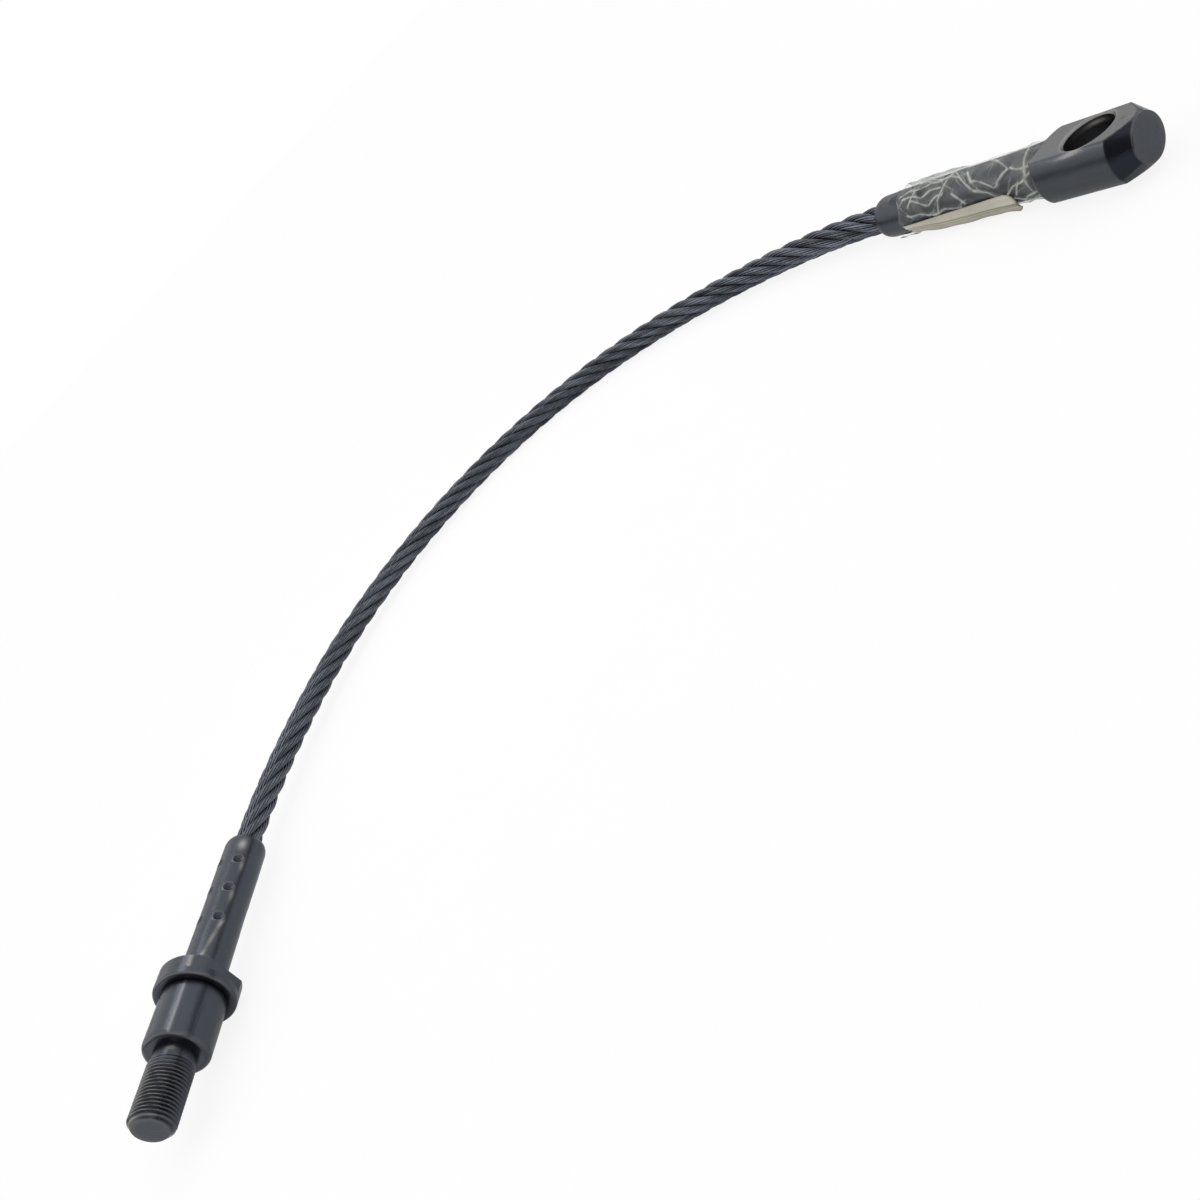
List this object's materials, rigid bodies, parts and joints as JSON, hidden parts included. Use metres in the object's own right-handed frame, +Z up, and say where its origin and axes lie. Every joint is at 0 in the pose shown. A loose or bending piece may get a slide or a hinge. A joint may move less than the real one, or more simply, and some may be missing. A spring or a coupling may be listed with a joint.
{
  "type": "wire rope with swaged terminals",
  "caption": "Bent steel wire rope with a swaged threaded stud on one end and a swaged flat eye, wrapped in clear film, on the other.",
  "frame": {"origin": "on the floor, below the middle of the box round the two terminals", "axes": "+Z up from the floor it lies on, +Y from the eye towards the stud across the bend, +X towards the outside of the bend"},
  "size_m": [0.2498, 0.3204, 0.022],
  "materials": {
    "dark_steel": "blackened, satin",
    "rope_steel": "stranded wire, satin",
    "clear_film": "clear, wrinkled",
    "cream_paper": "matte paper"
  },
  "bodies": {
    "root": {"stud_terminal": "dark_steel", "eye_terminal": "dark_steel", "wire_rope": "rope_steel", "rope_end_in_stud": "rope_steel", "rope_end_in_eye": "rope_steel", "film_wrap": "clear_film", "paper_slip": "cream_paper"}
  },
  "joints": []
}
